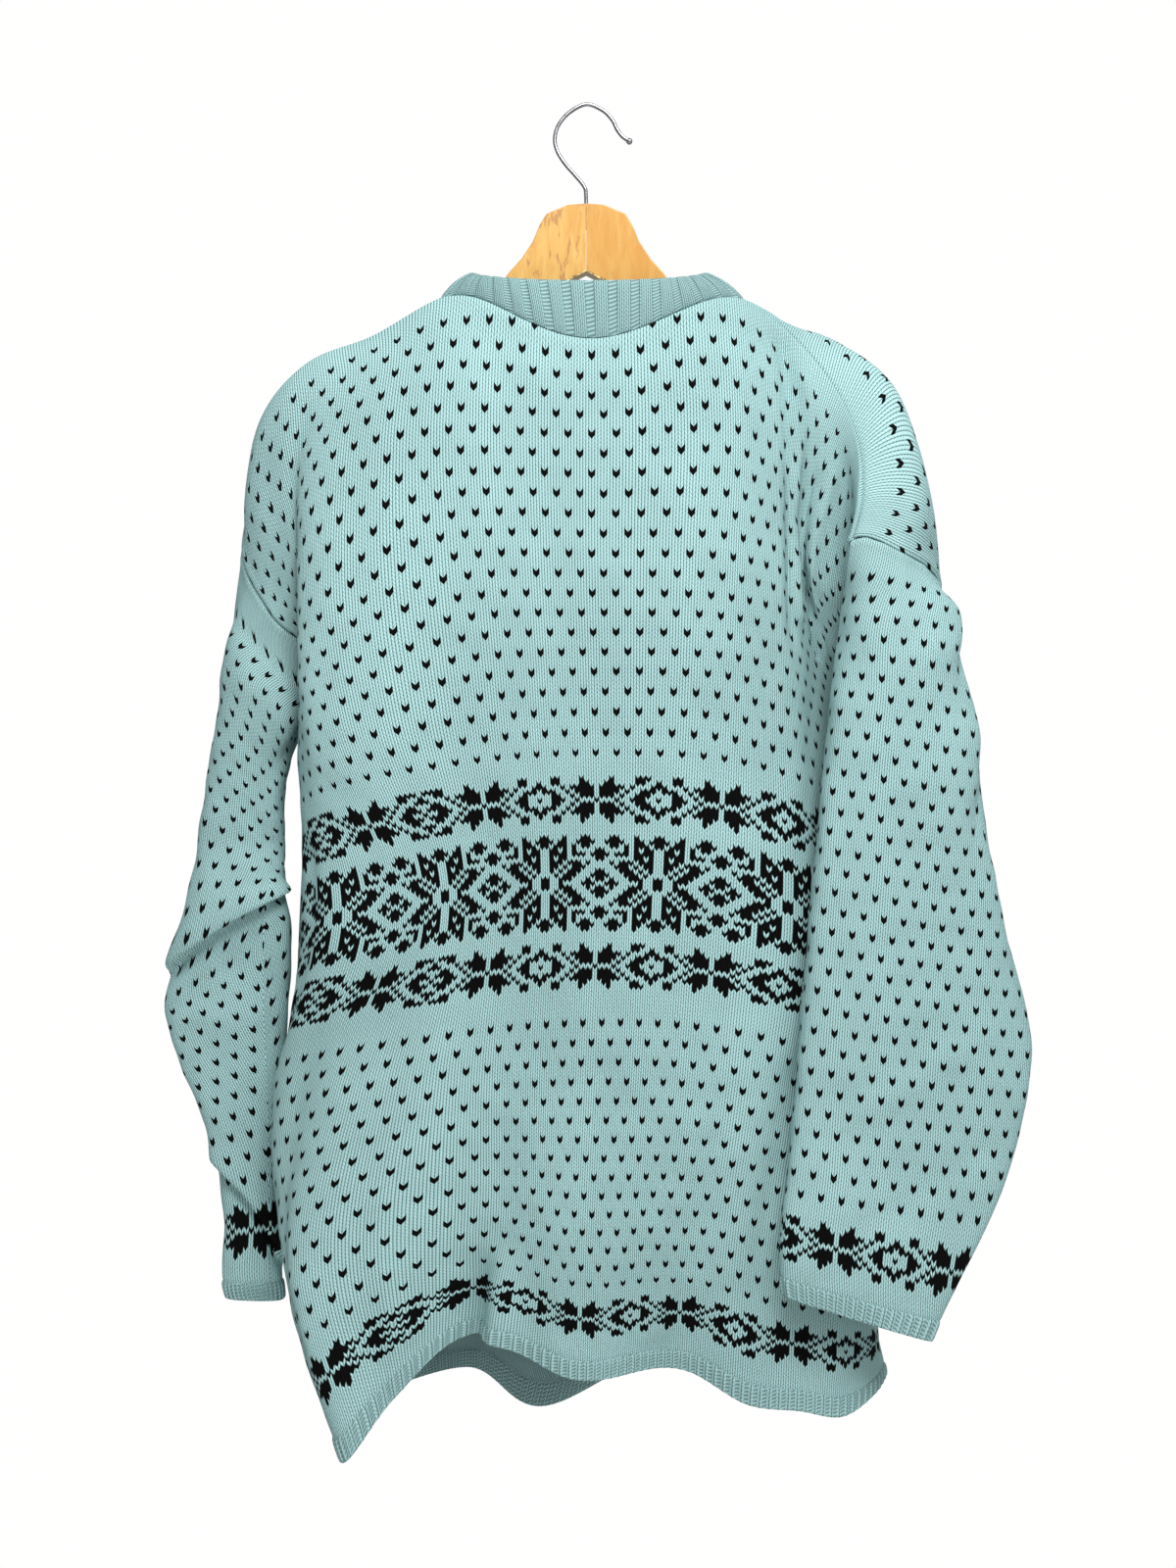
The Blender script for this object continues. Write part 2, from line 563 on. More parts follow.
def crease_heights(creases, laps, across, down, wale, course):
    """Metres that creases and laps lift a grid of cloth; across and down are its stitch sizes."""
    lift = np.zeros(np.broadcast(wale, course).shape)
    for number, crease in enumerate(laps + creases):
        from_wale, from_course, to_wale, to_course, width, height = crease
        run = np.array(((to_wale - from_wale) * across, (to_course - from_course) * down))
        length = np.hypot(*run)
        run /= length
        x, y = (wale - from_wale) * across, (course - from_course) * down
        along = np.clip(x * run[0] + y * run[1], 0, length)
        gap = np.hypot(x - along * run[0], y - along * run[1]) / (width * MM)
        fade = np.exp(-gap**2 / 2)
        if number < len(laps):
            side = (x * run[1] - y * run[0]) / (width * MM)
            fade = np.tanh(side / LAP_EDGE) * np.exp(-gap**2 * np.where(side > 0, *LAP_FADE))
        lift += height * MM * fade
    return lift * settings().crease_depth


def ripples(wale, course, seed):
    """Uneven waves of a knitted cloth that hangs, in metres."""
    a, b = wale * WALE * 1000, course * COURSE * 1000
    wave = (np.sin(a / 11.3 + b / 41 + seed) * np.sin(b / 17.7 - a / 63 + seed * 2.1)
            + 0.7 * np.sin(a / 6.1 - b / 29 + seed * 1.7) * np.sin(b / 9.7 + a / 37)
            + 0.5 * np.sin(b / 5.2 + 2.4 * np.sin(a / 23 + seed)))
    return wave * RIPPLE * MM * settings().crease_depth


def seam_profile(distance):
    """Metres that the cloth rises near a seam: a dip at the seam and a ridge beside it."""
    dip = -SEAM_ROLL * np.exp(-(distance / 0.0011) ** 2)
    ridge = SEAM_RIDGE * np.exp(-((distance - 0.0042) / 0.0022) ** 2)
    return (dip + ridge) * MM


def knit_shell(name, outer, inner, closed, wale, course, material):
    """A knitted wall from two grids of points, with its stitch counts as a UV map."""
    counts = np.stack(np.broadcast_arrays(wale, course), 2).reshape(-1, 2)
    rows, columns = outer.shape[:2]
    ring = columns - 1 if closed else columns
    index = np.arange(rows)[:, None] * ring + np.arange(columns)[None, :] % ring
    size = rows * ring
    spots = np.arange(rows * columns).reshape(rows, columns)
    quads, marks = (np.stack((grid[:-1, :-1], grid[1:, :-1], grid[1:, 1:], grid[:-1, 1:]), 2)
                    .reshape(-1, 4) for grid in (index, spots))
    edges = [(index[0], spots[0], 1), (index[-1], spots[-1], -1)]
    if not closed:
        edges += [(index[:, 0], spots[:, 0], -1), (index[:, -1], spots[:, -1], 1)]
    rims, rim_marks = [], []
    for line, mark, way in edges:
        strip = np.stack((line[:-1], line[1:], line[1:] + size, line[:-1] + size), 1)
        tint = np.stack((mark[:-1], mark[1:], mark[1:], mark[:-1]), 1)
        rims.append(strip[:, ::way])
        rim_marks.append(tint[:, ::way])
    faces = np.concatenate([quads, quads[:, ::-1] + size] + rims)
    marks = np.concatenate([marks, marks[:, ::-1]] + rim_marks)
    points = np.concatenate((outer[:, :ring].reshape(-1, 3), inner[:, :ring].reshape(-1, 3)))
    a, b, c, d = (points[faces[:, k]] for k in range(4))
    if np.sum(a * np.cross(b, c)) + np.sum(a * np.cross(c, d)) < 0:
        faces, marks = faces[:, ::-1], marks[:, ::-1]
    mesh = bpy.data.meshes.new(name)
    mesh.from_pydata(points.tolist(), [], faces.tolist())
    layer = mesh.uv_layers.new(name="Stitches")
    layer.data.foreach_set("uv", counts[marks.reshape(-1)].astype(np.float32).ravel())
    mesh.materials.append(material)
    mesh.shade_smooth()
    mesh.set_sharp_from_angle(angle=1.0)
    mesh.update()
    piece = bpy.data.objects.new(name, mesh)
    bpy.context.scene.collection.objects.link(piece)
    return piece


def fine_wales():
    """Wales of a fine panel: one column for each stitch, and closer beside the seams."""
    ends = HALF_WALES - SEAM_GAP / 2 / WALE
    beside = [-ends, -ends + 0.2, -ends + 0.45, -ends + 0.75, -78.6, -78]
    return np.array(beside + list(range(-77, 78)) + [-place for place in beside[::-1]])


def fine_panel(body, side, sleeves, name, material):
    """Back or front with its creases, and its seams rolled in along the edges."""
    wales = fine_wales()
    courses = np.concatenate(([0, 0.3, 0.65, 1.1, 1.6], np.arange(2.3, RIB_TOP - 3, 1.9),
                              RIB_TOP - np.array((2.2, 1.4, 0.8, 0.35, 0.0))))
    shares = courses / RIB_TOP
    points, normals = panel_grid(body, side, wales, shares)
    edge = courses <= UNDERARM
    places = courses[edge] / UNDERARM / 2
    for column, sleeve in ((0, sleeves[0]), (-1, sleeves[1])):
        normals[edge, column] = sleeve.seam(places if side == "back" else 1 - places)[0]
    starts = np.array([neck_course(side, wale) for wale in wales])
    course = starts[None, :] + (RIB_TOP - starts[None, :]) * shares[:, None]
    wale = np.broadcast_to(wales[None, :], course.shape)
    creases = BACK_CREASES if side == "back" else FRONT_CREASES
    lift = crease_heights(creases, (), WALE, COURSE, wale, course)
    lift += ripples(wale, course, 0.4 if side == "back" else 2.9)
    from_top = (course - starts[None, :]) * COURSE
    from_side = (HALF_WALES - np.abs(wale)) * WALE
    calm = smooth(np.minimum(np.minimum(from_top, from_side), (RIB_TOP - course) * COURSE), 0, CALM)
    lift *= calm
    lift += seam_profile(from_top) + seam_profile(from_side)
    lift -= SEAM_DIP * np.exp(-((RIB_TOP - course) * COURSE / 0.0012) ** 2)
    outer = points + normals * lift[:, :, None]
    inner = points + normals * np.minimum(lift, lift * calm)[:, :, None] - normals * CLOTH
    return knit_shell(name, outer, inner, False, wale, course, material)


def rib_relief(turn, raised, softness=1.5):
    """Height of a rib's cross-section, 0 in its furrow and 1 along its crest."""
    return np.clip(0.5 + softness * (0.5 * np.cos(turn * 2 * np.pi) - raised), 0, 1)


def rib_courses(top, end):
    """Courses of a rib, from inside the wall above it to its cast-off edge."""
    start = top - TUCK
    return start + (end - start) * RIB_DEPTHS


def rib_band(name, points, normals, closed, turn, courses, material):
    """A ribbed wall with a rounded edge, its upper edge tucked up inside the wall above."""
    relief = (rib_relief(turn, RIB_SHARE)[None, :] * smooth(RIB_DEPTHS, -0.05, 0.3)[:, None]
              * (1 - 0.75 * smooth(RIB_DEPTHS, 0.86, 1.0)[:, None]))
    cord = EDGE_CORD * np.exp(-((RIB_DEPTHS - 0.95) / 0.035) ** 2)[:, None]
    tuck = (1 - smooth(RIB_DEPTHS, 0, 0.12))[:, None]
    lift = relief * FINE_RIB_RELIEF + cord - 0.0009 * tuck
    wall = CLOTH - 0.0004 * tuck
    return knit_shell(name, points + normals * lift[:, :, None],
                      points - normals * wall[:, :, None], closed,
                      turn[None, :], courses[:, None], material)


def fine_hem(body, side, name, material):
    """Ribbed hem of one panel."""
    wales = np.linspace(-HALF_WALES + SEAM_GAP / 2 / WALE, HALF_WALES - SEAM_GAP / 2 / WALE,
                        HEM_RIBS * RIB_STEPS + 1)
    courses = rib_courses(RIB_TOP, HEM_END)
    columns = [body.column(side, wale, courses) for wale in wales]
    points, normals = (np.array(part).transpose(1, 0, 2) for part in zip(*columns))
    turn = (wales + HALF_WALES) / (2 * HALF_WALES) * HEM_RIBS
    return rib_band(name, points, normals, False, turn, courses, material)


def fine_cuff(sleeve, name, material):
    """Ribbed cuff of one sleeve."""
    places = np.linspace(0.5, 1.5, CUFF_RIBS * RIB_STEPS + 1)
    courses = rib_courses(CUFF_TOP, CUFF_END)
    points = sleeve.points(places, courses)
    normals = grid_normals(sleeve.points, places, courses, sleeve.flip)
    turn = (places - 0.5) * CUFF_RIBS
    return rib_band(name, points, normals, True, turn, courses, material)


def fine_sleeve(sleeve, name, creases, laps, material):
    """A sleeve from the armhole to its rib; its seam runs along the underarm."""
    places = np.linspace(0.5, 1.5, FINE_PLACES)
    courses = np.concatenate(([1.5 * SEAM_GAP / COURSE, 0.45, 0.8, 1.2, 1.7],
                              np.arange(2.4, 92, 1.45), np.arange(92, 108, 0.55),
                              np.arange(108, 158, 1.45), np.arange(158, CUFF_TOP - 2, 0.8),
                              CUFF_TOP - SEAM_GAP / 2 / COURSE - np.array((1.6, 0.9, 0.4, 0.0))))
    points = sleeve.points(places, courses)
    normals = grid_normals(sleeve.points, places, courses, sleeve.flip)
    normals[0], off = sleeve.seam(places)
    points[0] = sleeve.armhole(places)[0] + off * courses[0] * COURSE
    early = courses < 14
    own = turns = normals[early][1:, :-1]
    for _ in range(24):
        turns = blurred(turns, 1)
    blend = smooth(courses[early][1:], 5, 14)[:, None, None]
    turns = unit(turns * (1 - blend) + own * blend)
    normals[1:len(turns) + 1] = np.concatenate((turns, turns[:, :1]), axis=1)
    around = np.broadcast_to(places[None, :] % 1 * 100, points.shape[:2])
    course = np.broadcast_to(courses[:, None], points.shape[:2])
    girth = np.linalg.norm(np.diff(points, axis=1), axis=2).sum(axis=1).mean()
    lift = crease_heights(creases, laps, girth / 100, COURSE, around, course)
    wave = ripples((places[None, :] - 0.5) * 88, course, 1.3 if sleeve.wale < 0 else 4.2)
    seam = np.minimum(places - 0.5, 1.5 - places)
    lift += wave * smooth(seam, 0, 0.06)[None, :]
    lift *= smooth(course * COURSE, 0, CALM) * smooth((CUFF_TOP - course) * COURSE, 0, 0.012)
    lift += seam_profile(course * COURSE)
    lift -= SEAM_DIP * np.exp(-((CUFF_TOP - course) * COURSE / 0.0012) ** 2)
    middle = len(places) // 2
    strides = np.linalg.norm(np.diff(points, axis=1), axis=2)
    arc = np.concatenate((np.zeros((len(courses), 1)), np.cumsum(strides, axis=1)), axis=1)
    wale = (arc - arc[:, middle:middle + 1]) / SLEEVE_WALE + REPEAT_HALF
    wall = np.minimum(lift, 0) - CLOTH
    return knit_shell(name, points + normals * lift[:, :, None],
                      points + normals * wall[:, :, None], True, wale, course, material)


def fine_neckband(body, material):
    """Ribbed crew neckband: groups of raised wales, and a doubled top edge."""
    columns = NECK_RIBS * NECK_STEPS
    edges = {}
    for side in ("back", "front"):
        wales = np.linspace(-NECK_WALES, NECK_WALES, 109)
        cut = [body.column(side, wale, [neck_course(side, wale)]) for wale in wales]
        edges[side] = wales, np.array([c[0][0] for c in cut]), np.array([c[1][0] for c in cut])
    outer, inner = [], []
    for number in range(columns + 1):
        place = number % columns / columns
        side = "back" if place < 0.5 else "front"
        share = place * 2 if place < 0.5 else (1 - place) * 2
        wale = NECK_WALES * (2 * share - 1)
        wales, feet, foot_normals = edges[side]
        foot, foot_normal = chord(wales, feet, [wale])[0], chord(wales, foot_normals, [wale])[0]
        angle = np.pi * (1 - share)
        deep, drop = NECK_TOP[side]
        head = at_depth((NECK_TOP["middle_x"] + NECK_TOP["half_width"] * np.cos(angle),
                         -deep * np.sin(angle) ** 0.7,
                         NECK_TOP["side_z"] - drop * np.sin(angle) ** 1.3))
        rise = head - foot
        lift = unit(rise)
        lean = unit(foot_normal - lift * np.dot(foot_normal, lift))
        relief = rib_relief(number / NECK_STEPS, NECK_SHARE, 2.2)
        outer_column, inner_column = [], []
        for height in NECK_HEIGHTS:
            blend = min(height * 2, 1)
            normal = unit(foot_normal * (1 - blend) + lean * blend)
            middle = foot + lift * SEAM_GAP + (rise - lift * SEAM_GAP) * height
            middle = middle + lean * NECKBAND_BULGE * 4 * height * (1 - height)
            calm = (0.25 + 0.75 * blend) * (1 - 0.7 * smooth(height, 0.9, 1))
            rounding = 0.0006 * smooth(height, 0.93, 1)
            raised = FINE_NECK_RELIEF * relief * calm
            raised += -SEAM_DIP * np.exp(-(height / 0.04) ** 2) - rounding
            outer_column.append(middle + normal * raised)
            inner_column.append(middle - normal * (NECKBAND_WALL - rounding))
        outer.append(outer_column)
        inner.append(inner_column)
    outer, inner = np.array(outer).transpose(1, 0, 2), np.array(inner).transpose(1, 0, 2)
    turn = (np.arange(columns + 1) / NECK_STEPS)[None, :]
    course = (-NECK_HEIGHTS * NECK_COURSES)[:, None]
    return knit_shell("neckband_knit", outer, inner, True, turn, course, material)


class Finish:
    """A material's nodes, written as sums."""

    def __init__(self, name, roughness, metallic=0.0, gloss=0.5):
        self.material = bpy.data.materials.new(name)
        self.material.use_nodes = True
        self.nodes = self.material.node_tree.nodes
        self.links = self.material.node_tree.links
        self.shader = self.nodes["Principled BSDF"]
        self.coat("Roughness", roughness)
        self.coat("Metallic", metallic)
        self.coat("Specular IOR Level", gloss)

    def feed(self, socket, value):
        if isinstance(value, bpy.types.NodeSocket):
            self.links.new(value, socket)
        else:
            socket.default_value = value

    def coat(self, part, value):
        """Set one part of the surface, such as its roughness."""
        self.feed(self.shader.inputs[part], value)

    def node(self, kind, inputs, **options):
        node = self.nodes.new("ShaderNode" + kind)
        for option, value in options.items():
            setattr(node, option, value)
        for socket, value in inputs.items():
            self.feed(node.inputs[socket], value)
        return node.outputs

    def math(self, operation, *values):
        return self.node("Math", dict(enumerate(values)), operation=operation)[0]

    def add(self, *values):
        return self.math("ADD", *values)

    def sub(self, *values):
        return self.math("SUBTRACT", *values)

    def mul(self, *values):
        return self.math("MULTIPLY", *values)

    def fit(self, value, low, high, start=0.0, end=1.0):
        """A smooth step from start to end as the value goes from low to high."""
        steps = dict(enumerate((value, low, high, start, end)))
        return self.node("MapRange", steps, interpolation_type="SMOOTHSTEP")[0]

    def counts(self):
        """The stitch counts across and down."""
        stitches = self.node("UVMap", {}, uv_map="Stitches")
        return tuple(self.node("SeparateXYZ", {0: stitches[0]}))[:2]

    def place(self, scale=(1, 1, 1), turn=(0, 0, 0)):
        spot = self.node("TexCoord", {})["Object"]
        return self.node("Mapping", {"Scale": scale, "Rotation": turn, "Vector": spot})[0]

    def noise(self, vector, scale, detail=3.0, roughness=0.5, distortion=0.0):
        return self.node("TexNoise", {"Vector": vector, "Scale": scale, "Detail": detail,
                                      "Roughness": roughness, "Distortion": distortion})[0]

    def mix(self, factor, first, second):
        return self.node("Mix", {0: factor, 6: first, 7: second}, data_type="RGBA")[2]

    def shade(self, colour, amount):
        """A colour made brighter or darker by an amount round 1."""
        return self.node("VectorMath", {0: colour, 3: amount}, operation="SCALE")[0]

    def bump(self, height, distance, strength=1.0):
        self.coat("Normal", self.node("Bump", {"Distance": distance, "Strength": strength,
                                               "Height": height})[0])

    def paint(self, colour):
        self.coat("Base Color", colour)


def dark_stitch(finish, chart, column, rows_away):
    """1 where the chart has a dark stitch, from a column and a row counted from its middle."""
    code = 0.0
    for number, row in enumerate(chart):
        value = sum(2 ** place for place, stitch in enumerate(row) if stitch == "x")
        chosen = finish.math("COMPARE", rows_away, float(number), 0.1)
        code = finish.math("MULTIPLY_ADD", chosen, float(value), code)
    bits = finish.math("FLOOR", finish.math("DIVIDE", code, finish.math("POWER", 2.0, column)))
    return finish.math("MODULO", bits, 2.0)


def between(finish, value, low, high):
    return finish.mul(finish.math("GREATER_THAN", value, low - 0.5),
                      finish.math("LESS_THAN", value, high - 0.5))


def nearest(finish, row, middles):
    away = None
    for middle in middles:
        gap = finish.math("ABSOLUTE", finish.sub(row, float(middle)))
        away = gap if away is None else finish.math("MINIMUM", away, gap)
    return away


def yarn(finish, dark_share, height, crevice, crest):
    """Colours, fibres and relief shared by every knitted piece."""
    colours = bpy.context.scene.sweater_colours
    spots = finish.place()
    slow = finish.noise(spots, 9.0, 2.0)
    fibres = finish.noise(spots, 1500.0, 3.0, 0.7)
    colour = finish.mix(dark_share, (*colours.light_yarn, 1), (*colours.dark_yarn, 1))
    deep = finish.fit(height, 0.1, 0.95, crevice, crest)
    tone = finish.mul(deep, finish.fit(slow, 0.3, 0.7, 0.95, 1.05))
    tone = finish.mul(tone, finish.fit(fibres, 0.25, 0.75, 0.86, 1.12))
    finish.paint(finish.shade(colour, tone))
    relief = finish.add(height, finish.mul(fibres, 0.35))
    finish.bump(relief, settings().stitch_depth, 0.9)
    return finish.material


def on_slant(finish, side, down):
    """The row of a place once the slant of a stitch's leg is taken off."""
    rise = finish.mul(finish.sub(1.0, finish.mul(side, 2.0)), STITCH_SLANT)
    return finish.sub(down, rise)


def stitch_place(finish, strand, down):
    """The wale of a place, how far aside of its middle it is, and its row on the leg's slant."""
    column = finish.math("FLOOR", finish.add(strand, 0.5))
    side = finish.math("ABSOLUTE", finish.sub(strand, column))
    return column, side, on_slant(finish, side, down)


def stitch_height(finish, side, along):
    """Relief of one leg of a stitch, from how far aside and along it the place is."""
    aside = finish.mul(finish.math("ABSOLUTE", finish.sub(side, 0.25)), 4.0)
    leg = finish.sub(1.0, finish.math("POWER", aside, 2.0))
    leg = finish.math("SQRT", finish.math("MAXIMUM", leg, 0.0))
    ends = finish.mul(finish.math("ABSOLUTE", finish.sub(along, 0.5)), 2.0)
    hump = finish.math("POWER", ends, 3.0)
    return finish.mul(leg, finish.sub(1.0, finish.mul(hump, 0.45)))


def stockinette(name, roses, stars, lice):
    """Plain knitting: every stitch is a V with its tip down; the charts colour them."""
    finish = Finish(name, 0.9, gloss=0.06)
    across, down = finish.counts()
    column, side, slanted = stitch_place(finish, across, down)
    row = finish.math("FLOOR", slanted)
    half = float(REPEAT_HALF)
    rose_column = finish.math("PINGPONG", finish.sub(column, half), half)
    dark = dark_stitch(finish, ROSE_ROWS, rose_column, nearest(finish, row, roses))
    if stars:
        star_column = finish.math("PINGPONG", finish.sub(column, 0.5), half)
        star_column = finish.math("FLOOR", star_column)
        star = dark_stitch(finish, STAR_ROWS, star_column, nearest(finish, row, stars))
        dark = finish.add(dark, star)
    louse = 0.0
    for middle, first in LICE:
        aside = finish.math("PINGPONG", finish.sub(across, middle), LICE_WALES / 2)
        tall = finish.sub(on_slant(finish, aside, down), first - 0.35)
        tall = finish.math("FLOORED_MODULO", tall, LICE_COURSES)
        mark = finish.mul(finish.math("COMPARE", tall, 0.85, LOUSE_HEIGHT),
                          finish.math("LESS_THAN", aside, LOUSE_WIDTH))
        louse = finish.add(louse, mark)
    for low, high in lice:
        dark = finish.add(dark, finish.mul(louse, between(finish, row, low, high)))
    dark = finish.math("MINIMUM", dark, 1.0)
    height = stitch_height(finish, side, finish.math("FRACT", slanted))
    return yarn(finish, dark, height, CREVICE, CREST)


def ribbing(name, wales, crest):
    """Rib: raised wales of V stitches, with rows of purl in the furrow between them."""
    finish = Finish(name, 0.9, gloss=0.06)
    across, down = finish.counts()
    middle = finish.math("FLOOR", finish.add(across, 0.5))
    turn = finish.math("ABSOLUTE", finish.sub(across, middle))
    raised = finish.math("LESS_THAN", turn, crest)
    _, side, slanted = stitch_place(finish, finish.mul(across, float(wales)), down)
    legs = stitch_height(finish, side, finish.math("FRACT", slanted))
    wave = finish.mul(finish.add(down, finish.mul(across, 1.2)), 6.283)
    furrow = finish.fit(finish.math("SINE", wave), -1.0, 1.0, *RIB_FURROW)
    low = finish.mul(furrow, finish.sub(1.0, raised))
    return yarn(finish, 0.0, finish.add(finish.mul(legs, raised), low), 0.25, 0.95)


def beech(name, turn, flecks):
    """Lacquered beech, with its grain turned; one half shows its rays as flecks."""
    finish = Finish(name, 0.34)
    colours = bpy.context.scene.sweater_colours
    finish.coat("Coat Weight", 0.15)
    finish.coat("Coat Roughness", 0.18)
    along = finish.place((1.0, 1.0, 0.16), (0, turn, 0))
    bands = finish.noise(along, 210.0, 5.0, 0.62, 0.4)
    broad = finish.noise(along, 34.0, 3.0, 0.5, 0.6)
    spots = finish.noise(finish.place((1.0, 1.0, 0.34), (0, turn, 0)), 250.0, 2.0, 0.5)
    light, deep = (*colours.wood_light, 1), (*colours.wood_deep, 1)
    grain = finish.add(finish.mul(bands, 0.65), finish.mul(broad, 0.35))
    least, most = (0.0, 0.85) if flecks else (0.55, 1.0)
    colour = finish.mix(finish.fit(grain, 0.38, 0.64, least, most), light, deep)
    first, share = (0.60, 0.75) if flecks else (0.66, 0.35)
    fleck = finish.fit(spots, first, 0.70, 0.0, share)
    colour = finish.mix(fleck, colour, (*colours.wood_fleck, 1))
    finish.paint(colour)
    finish.bump(finish.add(grain, finish.mul(fleck, -0.3)), 0.00012, 0.5)
    return finish.material


def wire_steel():
    finish = Finish("Bright steel wire", 0.2, 1.0)
    drawn = finish.noise(finish.place(), 300.0, 2.0)
    finish.paint(finish.mix(finish.fit(drawn, 0.3, 0.7),
                            (0.25, 0.255, 0.27, 1), (0.31, 0.315, 0.33, 1)))
    finish.coat("Roughness", finish.fit(drawn, 0.2, 0.8, 0.2, 0.28))
    return finish.material


def dark_brass():
    finish = Finish("Dark brass plate", 0.3, 1.0)
    worn = finish.noise(finish.place(), 260.0, 5.0, 0.6)
    finish.paint(finish.mix(finish.fit(worn, 0.35, 0.65),
                            (0.30, 0.20, 0.07, 1), (0.62, 0.46, 0.20, 1)))
    finish.coat("Roughness", finish.fit(worn, 0.3, 0.7, 0.18, 0.45))
    finish.bump(worn, 0.0001, 0.4)
    return finish.material


COLOUR = {"min": 0, "max": 1, "subtype": "COLOR"}
LENGTH = {"subtype": "DISTANCE", "unit": "LENGTH"}


class SweaterSizes(bpy.types.PropertyGroup):
    crease_depth: FloatProperty(name="Crease depth", description="Share of the creases' own depth",
                                default=1.0, min=0.0, max=1.5, subtype="FACTOR")
    stitch_depth: FloatProperty(name="Stitch depth", description="Relief of a stitch's legs",
                                default=0.0011, min=0.0, max=0.003, **LENGTH)
    tip_radius: FloatProperty(name="Hook tip", description="Radius of the ball at the wire's end",
                              default=0.0024, min=0.0015, max=0.004, **LENGTH)


class SweaterColours(bpy.types.PropertyGroup):
    light_yarn: FloatVectorProperty(name="Light yarn", description="Main colour of the knitting",
                                    default=(0.362, 0.575, 0.578), **COLOUR)
    dark_yarn: FloatVectorProperty(name="Dark yarn", description="Colour of the pattern",
                                   default=(0.003, 0.003, 0.003), **COLOUR)
    wood_light: FloatVectorProperty(name="Beech", description="Pale part of the grain",
                                    default=(0.60, 0.36, 0.085), **COLOUR)
    wood_deep: FloatVectorProperty(name="Beech grain", description="Deep part of the grain",
                                   default=(0.50, 0.225, 0.014), **COLOUR)
    wood_fleck: FloatVectorProperty(name="Beech flecks", description="Short dark rays in the wood",
                                    default=(0.34, 0.14, 0.03), **COLOUR)


class StudioSettings(bpy.types.PropertyGroup):
    key_power: FloatProperty(name="Key light", description="Power of the large soft light",
                             default=46.0, min=0.0, unit="POWER")
    fill_power: FloatProperty(name="Fill light", description="Power of the light from the right",
                              default=8.5, min=0.0, unit="POWER")
    surround: FloatProperty(name="Surround", description="Light that comes from all round",
                            default=0.42, min=0.0, max=2.0)


def cloth_forms():
    """The body's and the sleeves' forms, from the same tables as the solids."""
    body = Body()
    return body, (Sleeve(body, SLEEVE_LEFT_ROWS, -HALF_WALES),
                  Sleeve(body, SLEEVE_RIGHT_ROWS, HALF_WALES))


def dress(piece, node):
    """The piece rides on the garment and stands for its solid."""
    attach(piece, "root")
    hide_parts(node)


class SWEATER_OT_panels(bpy.types.Operator):
    """Knit the back and the front, with their ribbed hems"""
    bl_idname = "sweater.panels"
    bl_label = "Back and front"

    def execute(self, context):
        body, sleeves = cloth_forms()
        knit = stockinette("Patterned body knit", BODY_ROSES, BODY_STARS, BODY_LICE)
        rib = ribbing("Hem rib", 1, 0.27)
        for side in ("back", "front"):
            panel = fine_panel(body, side, sleeves, side + "_knit", knit)
            hem = fine_hem(body, side, side + "_hem_rib", rib)
            dress(panel, side + "_panel")
            dress(hem, "hem_band_" + side)
        return {"FINISHED"}


class SWEATER_OT_sleeves(bpy.types.Operator):
    """Knit both sleeves, with their ribbed cuffs"""
    bl_idname = "sweater.sleeves"
    bl_label = "Sleeves"

    def execute(self, context):
        sleeves = cloth_forms()[1]
        knit = stockinette("Patterned sleeve knit", SLEEVE_ROSES, (), SLEEVE_LICE)
        rib = ribbing("Cuff rib", 1, 0.27)
        for side, sleeve, creases, laps in (
                ("left", sleeves[0], SLEEVE_LEFT_CREASES, SLEEVE_LEFT_LAPS),
                ("right", sleeves[1], SLEEVE_RIGHT_CREASES, ())):
            tube = fine_sleeve(sleeve, "sleeve_" + side + "_knit", creases, laps, knit)
            cuff = fine_cuff(sleeve, "cuff_" + side + "_rib", rib)
            dress(tube, "sleeve_" + side)
            dress(cuff, "cuff_" + side)
        return {"FINISHED"}


class SWEATER_OT_neckband(bpy.types.Operator):
    """Knit the ribbed neckband"""
    bl_idname = "sweater.neckband"
    bl_label = "Neckband"

    def execute(self, context):
        band = fine_neckband(cloth_forms()[0], ribbing("Neck rib", 5, 0.31))
        dress(band, "neckband")
        return {"FINISHED"}


